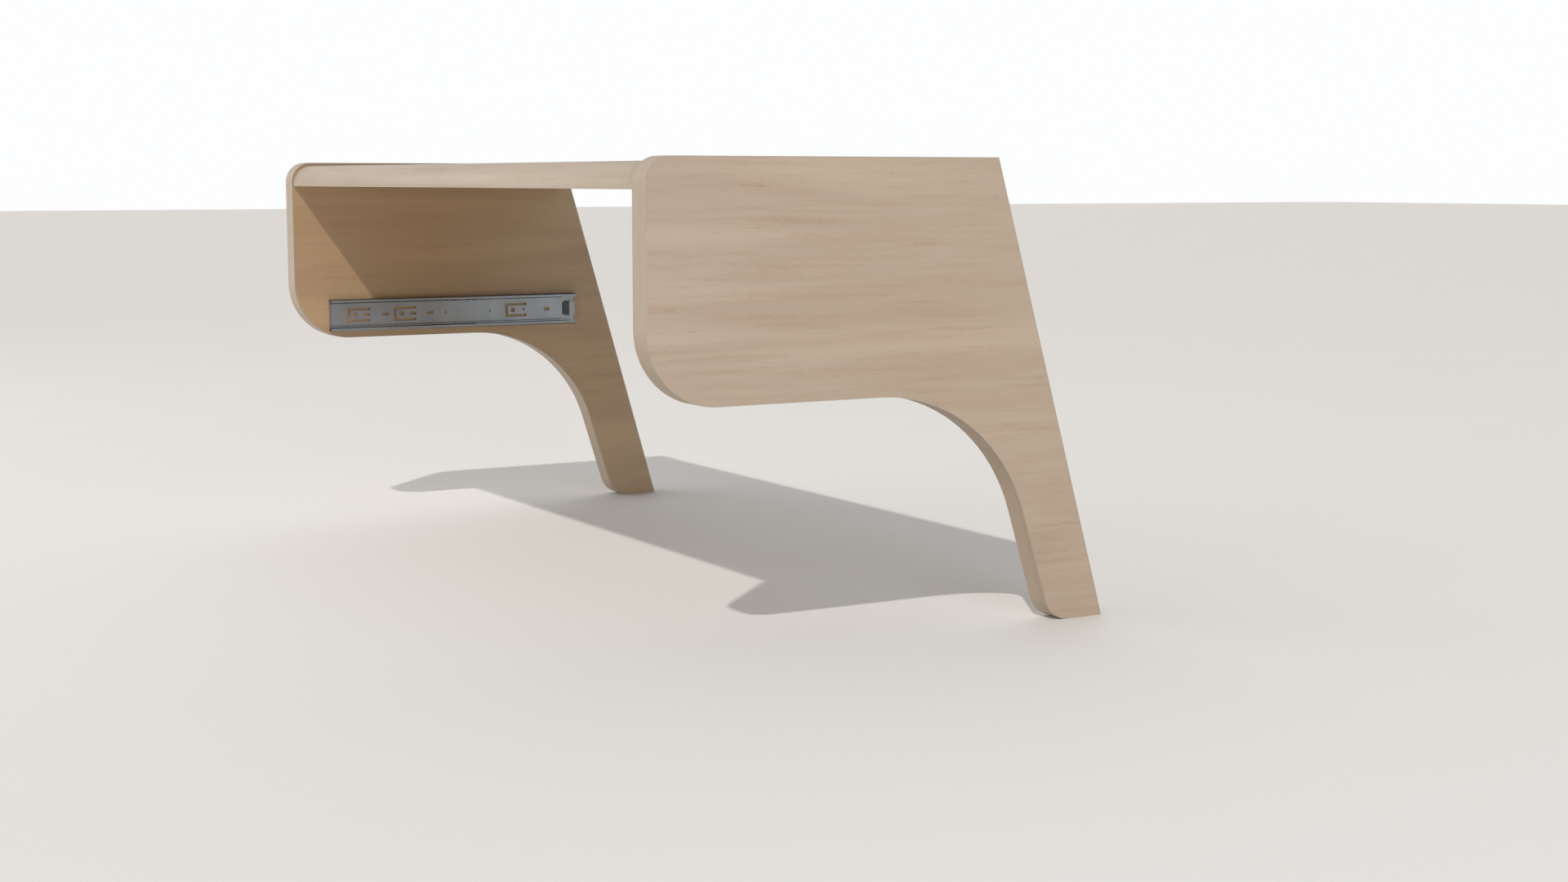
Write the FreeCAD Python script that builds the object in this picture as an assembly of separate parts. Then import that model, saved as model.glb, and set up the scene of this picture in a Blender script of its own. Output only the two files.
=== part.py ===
import FreeCAD, Part
import math
import os

# Maple drawer bay of a desk, with a pair of ball-bearing drawer runners. Millimetres.
# Built in a shop frame: x = 0 in the middle, y = 0 at the cheeks' front edge and
# growing backwards, z = 0 at the cheeks' top. save() moves it to the row frame, whose
# origin is the bottom centre of the whole. The left side is modelled and mirrored.

Vec = FreeCAD.Vector

# Whole
INNER_WIDTH = 1000.0
DEPTH = 520.9
HEIGHT = 467.0
HALF = INNER_WIDTH / 2

# Cheeks
CHEEK_T = 26.0
BAND_T = 1.0
CHEEK_DROP = 228.8
REAR_TOP_Y = 385.3
LEG_CORNER_Y = 380.8
LEG_SLOPE = 0.315
CORNER_RADII = {"top": 25.0, "chin": 72.0, "knee": 178.0, "toe": 30.0}
BAND_FOOT_GAP = 1.0

# Desktop
BOARD_TOP = -4.2
BOARD_T = 26.0
BOARD_FRONT = 1.7
BOARD_REAR = 385.3
LIPPING_D = 24.0
NOSE_R = 23.0
BOARD_MID = BOARD_TOP - BOARD_T / 2

# Cheek-to-desktop joints
DOWEL_Y = (92.0, 168.0, 232.0, 308.0)
DOWEL_R = 4.0
DOWEL_IN_CHEEK = 13.0
DOWEL_IN_BOARD = 21.0
CAM_Y = (60.0, 200.0, 340.0)
CAM_R = 7.5
CAM_H = 12.5
CAM_SETBACK = 24.0
CAM_BOLT_R = 3.0
CAM_BOLT_HOLE_R = 3.5
CAM_THREAD_R = 2.5
CAM_THREAD_L = 11.0

# Threaded inserts in the slanted rear edge
INSERT_AT = (60.0, 230.0, 400.0)
INSERT_R = 6.0
INSERT_L = 24.0
INSERT_BORE_R = 3.4
INSERT_BORE_L = 20.0

# Runners: u is the distance from the cheek, s from the runner's front, v from its axis
RUNNER_FRONT = 45.3
RUNNER_L = 350.5
RUNNER_AXIS_Z = -199.0
SHEET = 1.2
CABINET_HALF_H = 21.0
CABINET_DEPTH = 11.8
LIP_INNER = 17.0
BEND_R = 1.8
BEND_INNER_R = 0.6
DRAWER_HALF_H = 15.6
DRAWER_SHEET = 1.0
DRAWER_U = (1.6, 9.2)
DRAWER_S = (2.0, 333.0)
DRAWER_BEND_R = 1.4
DRAWER_BEND_INNER_R = 0.4

# Holes through both webs, at distances from the runner's front. Those of the cabinet
# member are wider by HOLE_EASE all round.
HOLE_EASE = 0.4
TAB_HOLES = (35.0, 99.0, 259.0)
TAB_HOLE_R = 3.15
TAB_AHEAD = 11.2
TAB_BEHIND = 20.4
TAB_HEIGHT = 19.2
TAB_CUT = 3.8
TAB_SLOTS = ((46.5, 55.2), (110.7, 119.3))
WEB_SLOTS = ((71.5, 80.5), (134.5, 143.5), (305.0, 313.5))
WEB_SLOT_H = 4.4
PILOT_S = 275.2
PILOT_R = 1.7

# Rear tongue and its bumper
TONGUE_S = (336.0, 343.0)
TONGUE_HALF_H = 9.8
TONGUE_RISE = 4.8
TONGUE_GAP = 0.6
TONGUE_CHAMFER = 2.6
BUMPER_S = (333.4, 341.4)
BUMPER_T = 1.6
BUMPER_HALF_H = 8.5

# Tray holes in the drawer member's web
TRAY_HOLES = (160.0, 224.0)
TRAY_HOLE_R = 2.25

# Crimps at the cabinet member's front that stop the ball strips
CRIMP_S = (0.2, 1.6)
CRIMP_U = (4.4, 8.6)
CRIMP_V = (17.6, 20.2)

# Balls and their strips
BALL_R = 2.3
GROOVE_R = 2.35
BALL_U = 6.5
BALL_V = 17.7
BALL_COUNT = 8
BALL_PITCH = 10.0
BALL_FIRST_S = 132.0
STRIP_U = (3.4, 9.6)
STRIP_T = 0.8
STRIP_END = 5.0
POCKET_R = 2.4

# Runner screws
SCREW_S = (14.0, 190.0, 328.0)
SCREW_R = 1.75
SCREW_L = 13.0
SCREW_HEAD_R = 3.3
SCREW_NECK_R = 2.1


def box(x0, x1, y0, y1, z0, z1):
    """Block between the given limits."""
    return Part.makeBox(x1 - x0, y1 - y0, z1 - z0, Vec(x0, y0, z0))


def rod(start, direction, length, radius):
    """Cylinder from start along direction."""
    return Part.makeCylinder(radius, length, start, direction)


def along_x(a, b):
    """Place profile coordinates (a, b) in the YZ plane."""
    return Vec(0, a, b)


def along_y(a, b):
    """Place profile coordinates (a, b) in the XZ plane."""
    return Vec(a, 0, b)


def along_z(a, b):
    """Place profile coordinates (a, b) in the XY plane."""
    return Vec(a, b, 0)


def corner_edge(before, here, after, radius):
    """Start, middle and end of the arc that rounds one corner."""
    back = (before - here).normalize()
    ahead = (after - here).normalize()
    half = back.getAngle(ahead) / 2
    reach = radius / math.tan(half)
    inward = (back + ahead).normalize()
    middle = here + inward * (radius / math.sin(half) - radius)
    return here + back * reach, middle, here + ahead * reach


def rounded_face(corners, place):
    """Face through (a, b, radius) corners, each rounded to its radius."""
    points = [place(a, b) for a, b, radius in corners]
    count = len(points)
    edges = []
    starts = []
    ends = []
    for i, (a, b, radius) in enumerate(corners):
        if radius == 0:
            starts.append(points[i])
            ends.append(points[i])
            continue
        start, middle, end = corner_edge(points[i - 1], points[i], points[(i + 1) % count], radius)
        edges.append(Part.Arc(start, middle, end).toShape())
        starts.append(start)
        ends.append(end)
    for i in range(count):
        following = starts[(i + 1) % count]
        if (following - ends[i]).Length > 1e-6:
            edges.append(Part.makeLine(ends[i], following))
    return Part.Face(Part.Wire(Part.__sortEdges__(edges)))


def fused(shapes):
    """One clean solid from overlapping shapes."""
    shapes = list(shapes)
    return shapes[0].multiFuse(shapes[1:]).removeSplitter()


def cut_all(shape, tools):
    """Shape with every tool taken away."""
    return shape.cut(Part.makeCompound(list(tools)))


def mirrored(shape):
    """The same piece on the right-hand side."""
    return shape.mirror(Vec(0, 0, 0), Vec(1, 0, 0))


def save(node, shape):
    """Write one node in the row frame."""
    moved = shape.copy()
    moved.translate(Vec(0, -DEPTH / 2, HEIGHT))
    moved.exportStep(os.path.join("parts", node + ".step"))


# Cheeks


def cheek_corners():
    """Outline of a cheek as (y, z, radius), from the top front corner downwards."""
    toe_y = LEG_CORNER_Y + LEG_SLOPE * (HEIGHT - CHEEK_DROP)
    return (
        (0, 0, CORNER_RADII["top"]),
        (0, -CHEEK_DROP, CORNER_RADII["chin"]),
        (LEG_CORNER_Y, -CHEEK_DROP, CORNER_RADII["knee"]),
        (toe_y, -HEIGHT, CORNER_RADII["toe"]),
        (DEPTH, -HEIGHT, 0),
        (REAR_TOP_Y, 0, 0),
    )


def cheek_blank():
    """Left cheek with its edge band, before drilling."""
    face = rounded_face(cheek_corners(), along_x)
    face.translate(Vec(-HALF - CHEEK_T, 0, 0))
    return face.extrude(Vec(CHEEK_T, 0, 0))


def edge_band_blank():
    """Veneer band round the cheek's edge, left open at the foot."""
    face = rounded_face(cheek_corners(), along_x)
    ring = face.cut(face.makeOffset2D(-BAND_T))
    ring.translate(Vec(-HALF - CHEEK_T, 0, 0))
    band = ring.extrude(Vec(CHEEK_T, 0, 0))
    foot = box(-HALF - CHEEK_T - 1, -HALF + 1, 0, DEPTH + 1, -HEIGHT - 1, -HEIGHT + BAND_FOOT_GAP)
    return band.cut(foot)


def rear_edge_point(distance):
    """Point on the slanted rear edge, mid-thickness, that far down from its top."""
    run = DEPTH - REAR_TOP_Y
    length = math.hypot(run, HEIGHT)
    return Vec(-HALF - CHEEK_T / 2, REAR_TOP_Y + run * distance / length, -HEIGHT * distance / length)


def rear_edge_normal():
    """Outward normal of the slanted rear edge."""
    run = DEPTH - REAR_TOP_Y
    length = math.hypot(run, HEIGHT)
    return Vec(0, HEIGHT / length, run / length)


def frame_inserts():
    """Threaded sleeves, flush with the slanted edge, that take the frame's bolts."""
    inward = rear_edge_normal() * -1
    sleeves = []
    for distance in INSERT_AT:
        start = rear_edge_point(distance)
        sleeve = rod(start, inward, INSERT_L, INSERT_R)
        sleeves.append(sleeve.cut(rod(start, inward, INSERT_BORE_L, INSERT_BORE_R)))
    return Part.makeCompound(sleeves)


def insert_holes():
    """Holes for the threaded sleeves."""
    inward = rear_edge_normal() * -1
    return [rod(rear_edge_point(distance), inward, INSERT_L, INSERT_R) for distance in INSERT_AT]


def cheek_holes():
    """Holes in the cheek's inner face for dowels, cam bolts and runner screws."""
    outward = Vec(-1, 0, 0)
    holes = [rod(Vec(-HALF, y, BOARD_MID), outward, DOWEL_IN_CHEEK, DOWEL_R) for y in DOWEL_Y]
    holes += [rod(Vec(-HALF, y, BOARD_MID), outward, CAM_THREAD_L, CAM_THREAD_R) for y in CAM_Y]
    for s in SCREW_S:
        holes.append(rod(Vec(-HALF, RUNNER_FRONT + s, RUNNER_AXIS_Z), outward, SCREW_L, SCREW_R))
    return holes


def cheek_pieces():
    """Cheek and its edge band."""
    band = edge_band_blank()
    core = cut_all(cheek_blank().cut(band), insert_holes() + cheek_holes())
    return core, cut_all(band, insert_holes())


# Desktop


def cam_positions(side):
    """Centres of the cams on one side of the board."""
    return [Vec(side * (HALF - CAM_SETBACK), y, BOARD_TOP - BOARD_T) for y in CAM_Y]


def board_holes(side):
    """Holes in one end of the board and in its underside."""
    inward = Vec(-side, 0, 0)
    holes = [rod(Vec(side * HALF, y, BOARD_MID), inward, DOWEL_IN_BOARD, DOWEL_R) for y in DOWEL_Y]
    holes += [rod(Vec(side * HALF, y, BOARD_MID), inward, CAM_SETBACK, CAM_BOLT_HOLE_R) for y in CAM_Y]
    holes += [rod(centre, Vec(0, 0, 1), CAM_H + 4, CAM_R) for centre in cam_positions(side)]
    return holes


def desktop_board():
    """Flat part of the desktop behind the front lipping."""
    board = box(-HALF, HALF, BOARD_FRONT + LIPPING_D, BOARD_REAR - BAND_T, BOARD_TOP - BOARD_T, BOARD_TOP)
    return cut_all(board, board_holes(-1) + board_holes(1))


def desktop_front_lipping():
    """Solid wood nosing with a quarter-round top edge."""
    back = BOARD_FRONT + LIPPING_D
    corners = (
        (BOARD_FRONT, BOARD_TOP, NOSE_R),
        (BOARD_FRONT, BOARD_TOP - BOARD_T, 0),
        (back, BOARD_TOP - BOARD_T, 0),
        (back, BOARD_TOP, 0),
    )
    face = rounded_face(corners, along_x)
    face.translate(Vec(-HALF, 0, 0))
    return face.extrude(Vec(INNER_WIDTH, 0, 0))


def desktop_rear_edge_band():
    """Veneer band on the desktop's rear edge."""
    return box(-HALF, HALF, BOARD_REAR - BAND_T, BOARD_REAR, BOARD_TOP - BOARD_T, BOARD_TOP)


def dowels():
    """Beech dowels between the left cheek and the board."""
    length = DOWEL_IN_CHEEK + DOWEL_IN_BOARD
    return Part.makeCompound(
        [rod(Vec(-HALF - DOWEL_IN_CHEEK, y, BOARD_MID), Vec(1, 0, 0), length, DOWEL_R) for y in DOWEL_Y]
    )


def cam_bolt(y):
    """Bolt screwed into the cheek, with its neck and head inside the cam."""
    start = Vec(-HALF - CAM_THREAD_L, y, BOARD_MID)
    thread = rod(start, Vec(1, 0, 0), CAM_THREAD_L, CAM_THREAD_R)
    shank = rod(Vec(-HALF, y, BOARD_MID), Vec(1, 0, 0), CAM_SETBACK - 5, CAM_BOLT_R)
    neck = rod(Vec(-HALF + CAM_SETBACK - 5, y, BOARD_MID), Vec(1, 0, 0), 4, CAM_BOLT_R / 2)
    head = rod(Vec(-HALF + CAM_SETBACK - 1, y, BOARD_MID), Vec(1, 0, 0), 3, CAM_BOLT_R)
    return fused((thread, shank, neck, head))


def cam_bolts():
    """The cam bolts of the left side."""
    return Part.makeCompound([cam_bolt(y) for y in CAM_Y])


def cam_disc(centre):
    """Cam housing with a mouth for the bolt and a cross recess below."""
    disc = rod(centre, Vec(0, 0, 1), CAM_H + 3.5, CAM_R)
    mouth = rod(Vec(-HALF, centre.y, BOARD_MID), Vec(1, 0, 0), CAM_SETBACK + 3, CAM_BOLT_HOLE_R)
    recess = [
        box(centre.x - 4, centre.x + 4, centre.y - 0.7, centre.y + 0.7, centre.z - 1, centre.z + 3),
        box(centre.x - 0.7, centre.x + 0.7, centre.y - 4, centre.y + 4, centre.z - 1, centre.z + 3),
    ]
    return cut_all(disc, [mouth] + recess)


def cam_discs():
    """The cams of the left side."""
    return Part.makeCompound([cam_disc(centre) for centre in cam_positions(-1)])


# Runners, in (u, s, v) and then placed on the cheek


def placed(shape):
    """Move a piece from runner coordinates to the left cheek's inner face."""
    moved = shape.copy()
    moved.translate(Vec(-HALF, RUNNER_FRONT, RUNNER_AXIS_Z))
    return moved


def channel(corners, s0, s1):
    """Channel with the given (u, v, radius) section between two distances."""
    face = rounded_face(corners, along_y)
    face.translate(Vec(0, s0, 0))
    return face.extrude(Vec(0, s1 - s0, 0))


def web_slot(s0, s1, v0, v1, radius):
    """Round-cornered hole through a web."""
    corners = ((s0, v0, radius), (s1, v0, radius), (s1, v1, radius), (s0, v1, radius))
    face = rounded_face(corners, along_x)
    face.translate(Vec(-1, 0, 0))
    return face.extrude(Vec(20, 0, 0))


def web_hole(s, radius):
    """Round hole through a web."""
    return rod(Vec(-1, s, 0), Vec(1, 0, 0), 20, radius)


def tab_cut(hole_s, ease):
    """C-shaped cut that frees a spring tab in the web, closed towards the front."""
    s0 = hole_s - TAB_AHEAD - ease
    s1 = hole_s + TAB_BEHIND + ease
    top = TAB_HEIGHT / 2 + ease
    width = TAB_CUT + 2 * ease
    radius = width * 0.46
    return [
        web_slot(s0, s0 + width, -top, top, radius),
        web_slot(s0, s1, top - width, top, radius),
        web_slot(s0, s1, -top, width - top, radius),
    ]


def web_cuts(ease):
    """Every hole that both webs have, wider by ease all round."""
    cuts = [web_hole(PILOT_S, PILOT_R + ease)]
    for s in TAB_HOLES:
        cuts += tab_cut(s, ease)
        cuts.append(web_hole(s, TAB_HOLE_R + ease))
    half = WEB_SLOT_H / 2 + ease
    for s0, s1 in TAB_SLOTS + WEB_SLOTS:
        cuts.append(web_slot(s0 - ease, s1 + ease, -half, half, half * 0.98))
    return cuts


def grooves():
    """Ball grooves along both rows."""
    return [rod(Vec(BALL_U, -1, v), Vec(0, 1, 0), RUNNER_L + 2, GROOVE_R) for v in (-BALL_V, BALL_V)]


def cabinet_section():
    """Lipped channel section of the cabinet member."""
    half = CABINET_HALF_H
    inner = half - SHEET
    lip = CABINET_DEPTH - SHEET
    lower = [
        (0, -half, BEND_R),
        (CABINET_DEPTH, -half, BEND_R),
        (CABINET_DEPTH, -LIP_INNER, 0),
        (lip, -LIP_INNER, 0),
        (lip, -inner, BEND_INNER_R),
        (SHEET, -inner, BEND_INNER_R),
    ]
    upper = [(u, -v, radius) for u, v, radius in reversed(lower)]
    return lower + upper


def tongue():
    """Raised tongue at the rear of the cabinet member's web."""
    rise_from, rise_to = TONGUE_S
    corners = (
        (0, rise_from - 2, 0),
        (0, rise_from, 0),
        (TONGUE_RISE, rise_to, 0),
        (TONGUE_RISE, RUNNER_L, 0),
        (TONGUE_RISE + SHEET, RUNNER_L, 0),
        (TONGUE_RISE + SHEET, rise_to - SHEET / 3, 0),
        (SHEET, rise_from, 0),
        (SHEET, rise_from - 2, 0),
    )
    face = rounded_face(corners, along_z)
    face.translate(Vec(0, 0, -TONGUE_HALF_H))
    strip = face.extrude(Vec(0, 0, 2 * TONGUE_HALF_H))
    half = TONGUE_HALF_H
    outline = (
        (rise_from - 3, -half, 0),
        (RUNNER_L - TONGUE_CHAMFER, -half, 0),
        (RUNNER_L, TONGUE_CHAMFER - half, 0),
        (RUNNER_L, half - TONGUE_CHAMFER, 0),
        (RUNNER_L - TONGUE_CHAMFER, half, 0),
        (rise_from - 3, half, 0),
    )
    face = rounded_face(outline, along_x)
    face.translate(Vec(-1, 0, 0))
    return strip.common(face.extrude(Vec(20, 0, 0)))


def crimps():
    """Small inward crimps in both flanges, ahead of the ball strips."""
    (s0, s1), (u0, u1), (v0, v1) = CRIMP_S, CRIMP_U, CRIMP_V
    return [box(u0, u1, s0, s1, v0, v1), box(u0, u1, s0, s1, -v1, -v0)]


def cabinet_member():
    """Outer channel, screwed to the cheek."""
    body = channel(cabinet_section(), 0, RUNNER_L)
    tools = grooves() + web_cuts(HOLE_EASE)
    tools += [screw_head(s) for s in SCREW_S]
    gap = TONGUE_HALF_H + TONGUE_GAP
    tools.append(box(-1, SHEET + 0.5, TONGUE_S[0], RUNNER_L + 1, -gap, gap))
    for tool in tools:
        body = body.cut(tool)
    return fused([body, tongue()] + crimps())


def rear_bumper():
    """Rubber pad up the tongue's ramp that the drawer member closes against."""
    (rise_from, rise_to), (s0, s1) = TONGUE_S, BUMPER_S
    slope = TONGUE_RISE / (rise_to - SHEET / 3 - rise_from)
    top = SHEET + slope * (s1 - rise_from)
    corners = (
        (SHEET, s0, 0),
        (SHEET, rise_from, 0),
        (top, s1, 0),
        (top + BUMPER_T, s1, 0.5),
        (SHEET + BUMPER_T, s0, 0.5),
    )
    face = rounded_face(corners, along_z)
    face.translate(Vec(0, 0, -BUMPER_HALF_H))
    return face.extrude(Vec(0, 0, 2 * BUMPER_HALF_H))


def drawer_section():
    """Plain channel section of the drawer member, nested in the cabinet member."""
    half = DRAWER_HALF_H
    inner = half - DRAWER_SHEET
    back, front = DRAWER_U
    lower = [
        (back + DRAWER_SHEET, -inner, DRAWER_BEND_INNER_R),
        (front, -inner, 0),
        (front, -half, 0),
        (back, -half, DRAWER_BEND_R),
    ]
    upper = [(u, -v, radius) for u, v, radius in reversed(lower)]
    return lower + upper


def drawer_member():
    """Inner channel, which carries the tray and slides forwards."""
    s0, s1 = DRAWER_S
    body = channel(drawer_section(), s0, s1)
    tools = grooves() + web_cuts(0)
    tools += [web_hole(s, TRAY_HOLE_R) for s in TRAY_HOLES]
    for tool in tools:
        body = body.cut(tool)
    return body


def ball_centres():
    """Centres of all the balls of one runner."""
    return [
        Vec(BALL_U, BALL_FIRST_S + i * BALL_PITCH, v) for v in (-BALL_V, BALL_V) for i in range(BALL_COUNT)
    ]


def balls():
    """Both rows of steel balls."""
    return Part.makeCompound([Part.makeSphere(BALL_R, centre) for centre in ball_centres()])


def ball_strips():
    """The two strips that space the balls."""
    s0 = BALL_FIRST_S - STRIP_END
    s1 = BALL_FIRST_S + (BALL_COUNT - 1) * BALL_PITCH + STRIP_END
    pockets = [rod(centre - Vec(0, 0, 2), Vec(0, 0, 1), 4, POCKET_R) for centre in ball_centres()]
    strips = []
    for v in (-BALL_V, BALL_V):
        strip = box(STRIP_U[0], STRIP_U[1], s0, s1, v - STRIP_T / 2, v + STRIP_T / 2)
        strips.append(cut_all(strip, pockets))
    return Part.makeCompound(strips)


def screw_head(s):
    """Countersunk head, flush with the web's inner face."""
    return Part.makeCone(SCREW_NECK_R, SCREW_HEAD_R, SHEET, Vec(0, s, 0), Vec(1, 0, 0))


def runner_screw(s):
    """Countersunk screw with a cross recess."""
    shank = rod(Vec(-SCREW_L, s, 0), Vec(1, 0, 0), SCREW_L + SHEET, SCREW_R)
    recess = [
        box(SHEET - 0.9, SHEET + 1, s - 1.9, s + 1.9, -0.4, 0.4),
        box(SHEET - 0.9, SHEET + 1, s - 0.4, s + 0.4, -1.9, 1.9),
    ]
    return cut_all(fused((shank, screw_head(s))), recess)


def runner_screws():
    """The screws of one cabinet member."""
    return Part.makeCompound([runner_screw(s) for s in SCREW_S])


def side_pieces():
    """Every piece of the left side, by the name it has after its side."""
    cheek, band = cheek_pieces()
    return {
        "cheek": cheek,
        "cheek_edge_band": band,
        "dowels": dowels(),
        "cam_bolts": cam_bolts(),
        "cam_discs": cam_discs(),
        "frame_inserts": frame_inserts(),
        "cabinet_member": placed(cabinet_member()),
        "drawer_member": placed(drawer_member()),
        "ball_strips": placed(ball_strips()),
        "balls": placed(balls()),
        "rear_bumper": placed(rear_bumper()),
        "runner_screws": placed(runner_screws()),
    }


def main():
    """Write every node."""
    os.makedirs("parts", exist_ok=True)
    save("desktop_board", desktop_board())
    save("desktop_front_lipping", desktop_front_lipping())
    save("desktop_rear_edge_band", desktop_rear_edge_band())
    for name, shape in side_pieces().items():
        save("left_" + name, shape)
        save("right_" + name, mirrored(shape))


main()
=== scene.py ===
import bpy
import math
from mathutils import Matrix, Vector

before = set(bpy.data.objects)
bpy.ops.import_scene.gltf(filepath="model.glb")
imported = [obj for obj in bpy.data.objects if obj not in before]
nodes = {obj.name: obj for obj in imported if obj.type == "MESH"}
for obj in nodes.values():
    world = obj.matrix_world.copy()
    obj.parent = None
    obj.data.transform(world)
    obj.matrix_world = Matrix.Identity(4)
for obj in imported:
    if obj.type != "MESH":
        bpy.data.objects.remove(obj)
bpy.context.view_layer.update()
SIDES = ("left", "right")
WELD_GAP = 0.00001

# Camera, in the row frame, metres
CAMERA_AT = (2.2722, -1.1264, 0.4458)
CAMERA_TURN = 59.98
CAMERA_DOWN = 6.867
LENS = 49.9
SENSOR = 36.0

# Linear colours. PALE_STREAK brightens a wood's light colour in its pale streaks. The cheeks'
# # tints paint light into their veneer: the left cheek is warmer, a painted bounce shade of the
# # closed bay, and the right cheek is cooler and paler, a painted neutral sheen.
MAPLE_LIGHT = (0.408, 0.288, 0.179)
MAPLE_DARK = (0.376, 0.256, 0.153)
MAPLE_FLECK = (0.285, 0.177, 0.093)
CHEEK_SHADE_AND_SHEEN_TINTS = {"left": (1.01, 0.94, 0.82), "right": (1.015, 1.05, 1.165)}
PALE_STREAK = 1.10
LIPPING_LIGHT = (0.372, 0.298, 0.228)
LIPPING_DARK = (0.350, 0.274, 0.204)
EDGE_LIGHT = (0.362, 0.286, 0.214)
EDGE_DARK = (0.334, 0.258, 0.186)
EDGE_FLECK = (0.290, 0.212, 0.144)
BEECH_LIGHT = (0.560, 0.370, 0.220)
BEECH_DARK = (0.470, 0.290, 0.160)
ZINC_LIGHT = (0.262, 0.260, 0.256)
ZINC_DARK = (0.246, 0.244, 0.240)
STRIP_LIGHT = (0.340, 0.340, 0.340)
STRIP_DARK = (0.250, 0.250, 0.250)
HARDWARE_LIGHT = (0.560, 0.550, 0.520)
HARDWARE_DARK = (0.430, 0.420, 0.390)
BALL_LIGHT = (0.620, 0.620, 0.640)
BALL_DARK = (0.540, 0.540, 0.560)
RUBBER_LIGHT = (0.095, 0.095, 0.095)
RUBBER_DARK = (0.070, 0.070, 0.070)
FLOOR_COLOUR = (0.760, 0.732, 0.690)
FLOOR_CLOUD = 0.985
FLOOR_HALF = 30.0
BACKDROP_COLOUR = (0.985, 0.99, 1.0)

# The surroundings' strength falls from 1 to DIM_LOW as the cosine of a direction to
# DIM_TOWARDS rises through DIM_RANGE
DIM_TOWARDS = (0.954, 0.3, 0.0)
DIM_RANGE = (-0.36, 0.40)
DIM_LOW = 0.03

# Direction the key's light travels in, strength, angular size in degrees, colour
KEY = ((-1.0, 1.0, -1.41), 1.8, 1.2, (1.0, 0.985, 0.96))

# Place, target, size, power in watts, colour
SOFT_BOXES = {
    "fill_right": ((5.9, 0.1, 0.80), (0.5, 0.1, 0.2), (2.8, 1.5), 150, (0.64, 0.81, 1.0)),
    "fill_rear": ((5.8, 4.05, 0.20), (-0.4, 0.15, 0.2), (1.8, 0.34), 16, (1.0, 0.97, 0.92)),
    "fill_low": ((5.8, -0.85, 0.20), (-0.4, 0.15, 0.1), (1.8, 0.34), 28, (1.0, 0.97, 0.92)),
    "fill_left": ((-2.6, -2.4, 1.3), (0, 0, 0.3), (2.0, 1.6), 12.5, (0.96, 0.985, 1.0)),
    "fill_front": ((-1.1, -2.8, 0.28), (0.3, 0, 0.2), (1.2, 0.4), 15, (1.0, 0.97, 0.93)),
}


class Graph:
    """A material's node tree, with short ways to add what the looks here need."""

    def __init__(self, name):
        self.material = bpy.data.materials.new(name)
        self.material.use_nodes = True
        self.tree = self.material.node_tree
        self.shader = self.tree.nodes["Principled BSDF"]
        self.place = self.add("ShaderNodeTexCoord").outputs["Object"]

    def add(self, kind, **values):
        node = self.tree.nodes.new(kind)
        for key, value in values.items():
            setattr(node, key, value)
        return node

    def link(self, source, target):
        self.tree.links.new(source, target)

    def noise(self, scale, detail=4.0, rough=0.55, warp=0.0, offset=(0, 0, 0)):
        """Noise stretched by scale, in cycles per metre along X, Y and Z."""
        mapping = self.add("ShaderNodeMapping")
        mapping.inputs["Scale"].default_value = scale
        mapping.inputs["Location"].default_value = offset
        self.link(self.place, mapping.inputs["Vector"])
        texture = self.add("ShaderNodeTexNoise")
        texture.inputs["Scale"].default_value = 1.0
        texture.inputs["Detail"].default_value = detail
        texture.inputs["Roughness"].default_value = rough
        texture.inputs["Distortion"].default_value = warp
        self.link(mapping.outputs["Vector"], texture.inputs["Vector"])
        return texture.outputs["Fac"]

    def spread(self, value, low, high, to_low=0.0, to_high=1.0):
        """value from low..high to to_low..to_high, clamped."""
        node = self.add("ShaderNodeMapRange")
        node.inputs["From Min"].default_value = low
        node.inputs["From Max"].default_value = high
        node.inputs["To Min"].default_value = to_low
        node.inputs["To Max"].default_value = to_high
        self.link(value, node.inputs["Value"])
        return node.outputs["Result"]

    def mix(self, factor, low, high):
        """Colour between low and high, each a colour or an output."""
        node = self.add("ShaderNodeMix", data_type="RGBA")
        self.link(factor, node.inputs["Factor"])
        for name, value in (("A", low), ("B", high)):
            socket = [s for s in node.inputs if s.name == name and s.type == "RGBA"][0]
            if isinstance(value, tuple):
                socket.default_value = (*value, 1)
            else:
                self.link(value, socket)
        return [s for s in node.outputs if s.type == "RGBA"][0]

    def plus(self, first, second, weight):
        """first + second * weight."""
        node = self.add("ShaderNodeMath", operation="MULTIPLY_ADD")
        self.link(second, node.inputs[0])
        node.inputs[1].default_value = weight
        self.link(first, node.inputs[2])
        return node.outputs[0]

    def bump(self, height, distance, strength):
        node = self.add("ShaderNodeBump")
        node.inputs["Distance"].default_value = distance
        node.inputs["Strength"].default_value = strength
        self.link(height, node.inputs["Height"])
        self.link(node.outputs["Normal"], self.shader.inputs["Normal"])

    def finish(self, colour, roughness):
        self.link(colour, self.shader.inputs["Base Color"])
        self.link(roughness, self.shader.inputs["Roughness"])
        return self.material


def stretch(grain, along, across):
    """Scale that is along in the grain's directions and across in the others."""
    return tuple(along if axis in grain else across for axis in "XYZ")


def tint(colour, by):
    """Colour with each channel times its own factor."""
    return tuple(value * factor for value, factor in zip(colour, by))


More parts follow.
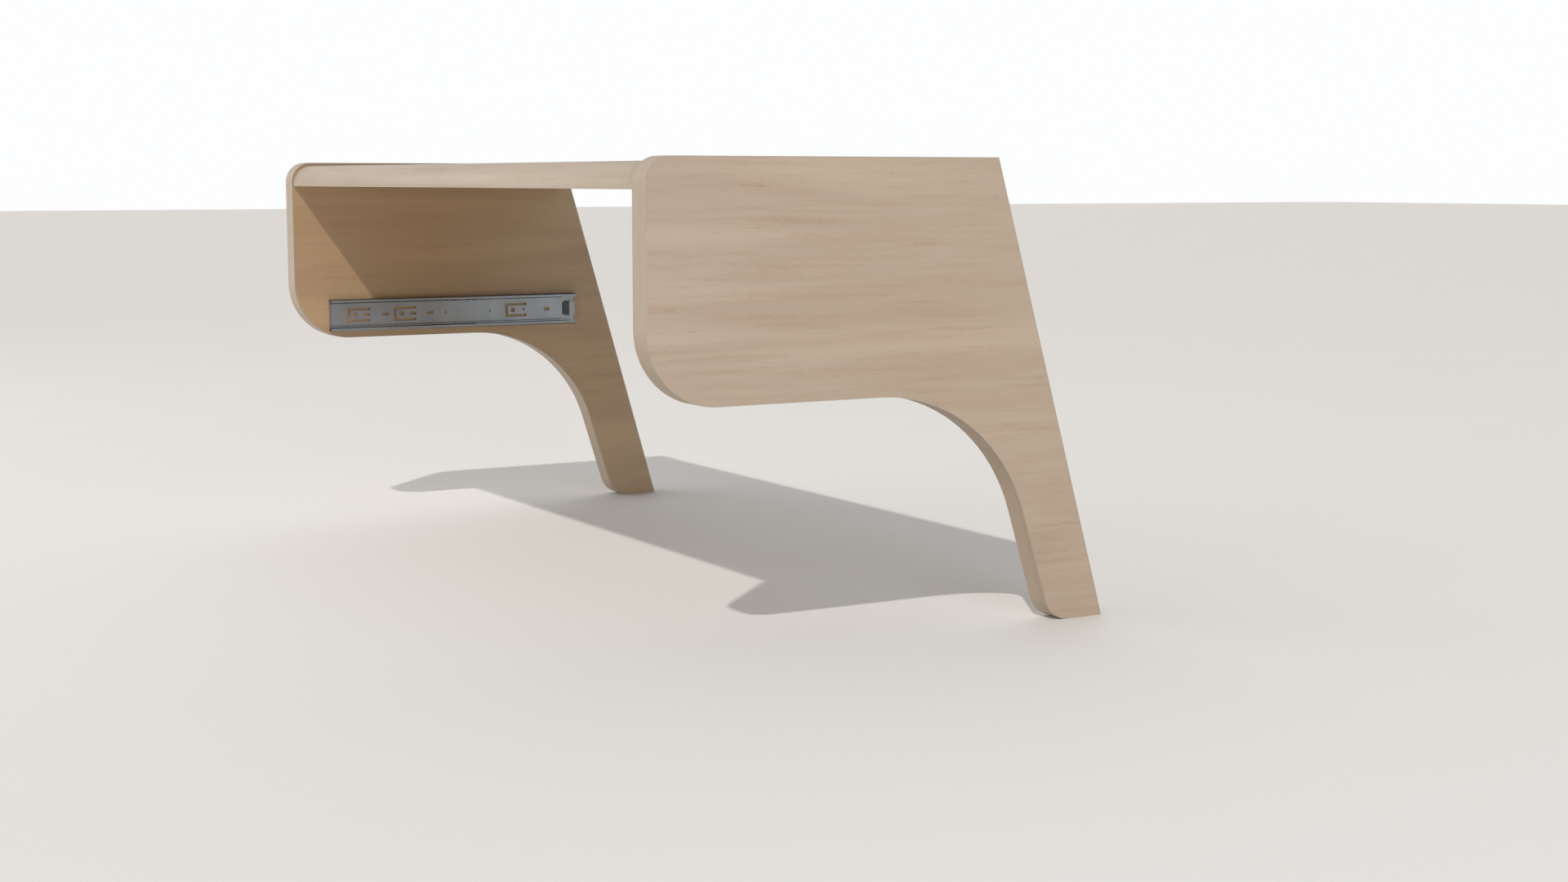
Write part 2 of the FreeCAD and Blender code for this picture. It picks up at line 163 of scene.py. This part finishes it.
def wood(name, grain, light, dark, fleck, seed=0.0, flecks=0.5):
    """Lacquered wood: soft figure, pale streaks, fine flecks and pores, all along the grain."""
    graph = Graph(name)
    offset = (seed, seed * 1.7, seed * 0.6)
    figure = graph.noise(stretch(grain, 2.4, 26), 3.0, 0.55, 0.9, offset)
    bands = graph.noise(stretch(grain, 1.1, 15), 2.0, 0.5, 0.5, offset)
    cloud = graph.noise(stretch(grain, 3.5, 7), 2.0, 0.5, 0.3, offset)
    lines = graph.noise(stretch(grain, 7, 190), 5.0, 0.65, 0.5, offset)
    pores = graph.noise(stretch(grain, 110, 1500), 3.0, 0.6, 0.0, offset)
    tone = graph.plus(graph.plus(figure, lines, 0.45), cloud, 0.5)
    colour = graph.mix(graph.spread(tone, 0.80, 1.15), light, dark)
    pale = tuple(value * PALE_STREAK for value in light)
    colour = graph.mix(graph.spread(bands, 0.54, 0.70), colour, pale)
    marks = graph.spread(graph.plus(lines, pores, 0.8), 0.96, 1.20, 0.0, flecks)
    colour = graph.mix(marks, colour, fleck)
    roughness = graph.spread(graph.plus(lines, pores, 0.5), 0.5, 1.0, 0.40, 0.56)
    graph.bump(graph.plus(pores, lines, 0.6), 0.00012, 0.35)
    graph.shader.inputs["Specular IOR Level"].default_value = 0.42
    return graph.finish(colour, roughness)


def metal(name, light, dark, rough, grain="Y", fine=900):
    """Plated steel: rolling lines, a cloudy bloom in the plating and light scuffs."""
    graph = Graph(name)
    rolled = graph.noise(stretch(grain, 9, fine), 4.0, 0.6, 0.0)
    bloom = graph.noise((34, 34, 34), 4.0, 0.6, 0.5)
    scuffs = graph.noise(stretch(grain, 30, 260), 5.0, 0.75, 1.4)
    tone = graph.plus(bloom, rolled, 0.35)
    colour = graph.mix(graph.spread(tone, 0.45, 0.9), light, dark)
    roughness = graph.spread(graph.plus(bloom, scuffs, 0.4), 0.5, 1.0, rough - 0.03, rough + 0.05)
    graph.bump(graph.plus(rolled, scuffs, 0.3), 0.00002, 0.15)
    graph.shader.inputs["Metallic"].default_value = 1.0
    return graph.finish(colour, roughness)


def rubber(name):
    """Dark moulded rubber with a fine matt skin."""
    graph = Graph(name)
    skin = graph.noise((1600, 1600, 1600), 3.0, 0.6)
    dust = graph.noise((120, 120, 120), 4.0, 0.65)
    colour = graph.mix(graph.spread(dust, 0.45, 0.75), RUBBER_DARK, RUBBER_LIGHT)
    graph.bump(skin, 0.00006, 0.4)
    return graph.finish(colour, graph.spread(skin, 0.3, 0.7, 0.62, 0.78))


def paint(node, material):
    """Give a CAD node its material."""
    piece = nodes[node]
    if not piece.material_slots:
        piece.data.materials.append(material)
    for holder in piece.material_slots:
        holder.material = material


def soften(node, width):
    """Ease a CAD node's sharp edges."""
    piece = nodes[node]
    weld = piece.modifiers.new("weld", "WELD")
    weld.merge_threshold = WELD_GAP
    bevel = piece.modifiers.new("ease", "BEVEL")
    bevel.width = width
    bevel.segments = 2
    bevel.limit_method = "ANGLE"
    bevel.angle_limit = math.radians(35)
    bevel.harden_normals = True


def paint_all():
    """Materials for every CAD node."""
    zinc = metal("zinc_sheet", ZINC_LIGHT, ZINC_DARK, 0.42)
    strip = metal("zinc_strip", STRIP_LIGHT, STRIP_DARK, 0.45)
    hardware = metal("zinc_hardware", HARDWARE_LIGHT, HARDWARE_DARK, 0.34, grain="X", fine=500)
    ball = metal("ball_steel", BALL_LIGHT, BALL_DARK, 0.12, fine=300)
    bumper = rubber("bumper_rubber")
    beech = wood("beech", "X", BEECH_LIGHT, BEECH_DARK, BEECH_DARK, 4.0)
    board = wood("maple_board", "X", MAPLE_LIGHT, MAPLE_DARK, MAPLE_FLECK, 2.0)
    lipping = wood("maple_lipping", "X", LIPPING_LIGHT, LIPPING_DARK, MAPLE_FLECK, 5.0, 0.3)
    rear = wood("maple_rear_band", "X", EDGE_LIGHT, EDGE_DARK, EDGE_FLECK, 8.0)
    paint("desktop_board", board)
    paint("desktop_front_lipping", lipping)
    paint("desktop_rear_edge_band", rear)
    for number, side in enumerate(SIDES):
        # The tint paints light into the cheek's colour: warm bounce shade on the left, a cool
        # sheen on the right.
        light = tint(MAPLE_LIGHT, CHEEK_SHADE_AND_SHEEN_TINTS[side])
        dark = tint(MAPLE_DARK, CHEEK_SHADE_AND_SHEEN_TINTS[side])
        cheek = wood("maple_cheek_" + side, "Y", light, dark, MAPLE_FLECK, 3.1 * number)
        edge = wood("maple_edge_" + side, "YZ", EDGE_LIGHT, EDGE_DARK, EDGE_FLECK, 1.3 + number)
        looks = {
            "cheek": cheek,
            "cheek_edge_band": edge,
            "dowels": beech,
            "cam_bolts": hardware,
            "cam_discs": hardware,
            "frame_inserts": hardware,
            "cabinet_member": zinc,
            "drawer_member": zinc,
            "ball_strips": strip,
            "balls": ball,
            "rear_bumper": bumper,
            "runner_screws": hardware,
        }
        for name, material in looks.items():
            paint(side + "_" + name, material)
        soften(side + "_cam_discs", 0.0003)
        soften(side + "_rear_bumper", 0.0005)
    soften("desktop_front_lipping", 0.0004)
    soften("desktop_rear_edge_band", 0.0003)


def floor():
    """Plain pale floor, not part of the object."""
    mesh = bpy.data.meshes.new("floor")
    half = FLOOR_HALF
    corners = [(-half, -half, 0), (half, -half, 0), (half, half, 0), (-half, half, 0)]
    mesh.from_pydata(corners, [], [(0, 1, 2, 3)])
    piece = bpy.data.objects.new("floor", mesh)
    bpy.context.collection.objects.link(piece)
    graph = Graph("floor_paint")
    soft = graph.noise((3, 3, 3), 2.0, 0.5)
    tinted = tuple(value * FLOOR_CLOUD for value in FLOOR_COLOUR)
    colour = graph.mix(soft, FLOOR_COLOUR, tinted)
    mesh.materials.append(graph.finish(colour, graph.spread(soft, 0.3, 0.7, 0.75, 0.85)))


def aim(item, target):
    """Point an object's -Z at target."""
    item.rotation_euler = (Vector(target) - item.location).to_track_quat("-Z", "Y").to_euler()


def sun(name, travel, strength, degrees, colour):
    """Sun whose light travels along that direction."""
    data = bpy.data.lights.new(name, "SUN")
    data.energy = strength
    data.angle = math.radians(degrees)
    data.color = colour
    item = bpy.data.objects.new(name, data)
    bpy.context.collection.objects.link(item)
    item.location = Vector(travel) * -3
    aim(item, (0, 0, 0))


def panel(name, place, target, size, power, colour):
    """Soft box."""
    data = bpy.data.lights.new(name, "AREA")
    data.shape = "RECTANGLE"
    data.size, data.size_y = size
    data.energy = power
    data.color = colour
    item = bpy.data.objects.new(name, data)
    bpy.context.collection.objects.link(item)
    item.location = place
    aim(item, target)


def surroundings():
    """Pale surroundings that light less from the back right, where the desk's frame closes the
    bay, and look evenly pale."""
    world = bpy.data.worlds.new("surroundings")
    bpy.context.scene.world = world
    world.use_nodes = True
    tree = world.node_tree
    backdrop = tree.nodes["Background"]
    backdrop.inputs["Color"].default_value = (*BACKDROP_COLOUR, 1)
    place = tree.nodes.new("ShaderNodeTexCoord")
    towards = tree.nodes.new("ShaderNodeVectorMath")
    towards.operation = "DOT_PRODUCT"
    towards.inputs[1].default_value = DIM_TOWARDS
    tree.links.new(place.outputs["Generated"], towards.inputs[0])
    fade = tree.nodes.new("ShaderNodeMapRange")
    fade.interpolation_type = "SMOOTHSTEP"
    fade.inputs["From Min"].default_value = DIM_RANGE[0]
    fade.inputs["From Max"].default_value = DIM_RANGE[1]
    fade.inputs["To Min"].default_value = 1.0
    fade.inputs["To Max"].default_value = DIM_LOW
    tree.links.new(towards.outputs["Value"], fade.inputs["Value"])
    rays = tree.nodes.new("ShaderNodeLightPath")
    strength = tree.nodes.new("ShaderNodeMath")
    strength.operation = "MAXIMUM"
    tree.links.new(fade.outputs["Result"], strength.inputs[0])
    tree.links.new(rays.outputs["Is Camera Ray"], strength.inputs[1])
    tree.links.new(strength.outputs["Value"], backdrop.inputs["Strength"])


def lights():
    """Key from the front, above and right, and soft boxes round the part."""
    sun("key", *KEY)
    for name, settings in SOFT_BOXES.items():
        panel(name, *settings)
    bpy.context.scene.view_settings.view_transform = "Standard"


def camera():
    """Camera at the viewing angle of the reference."""
    data = bpy.data.cameras.new("camera")
    data.lens = LENS
    data.sensor_width = SENSOR
    data.clip_end = 100
    item = bpy.data.objects.new("camera", data)
    bpy.context.collection.objects.link(item)
    item.location = CAMERA_AT
    item.rotation_euler = (math.radians(90 - CAMERA_DOWN), 0, math.radians(CAMERA_TURN))
    bpy.context.scene.camera = item


paint_all()
floor()
surroundings()
lights()
camera()
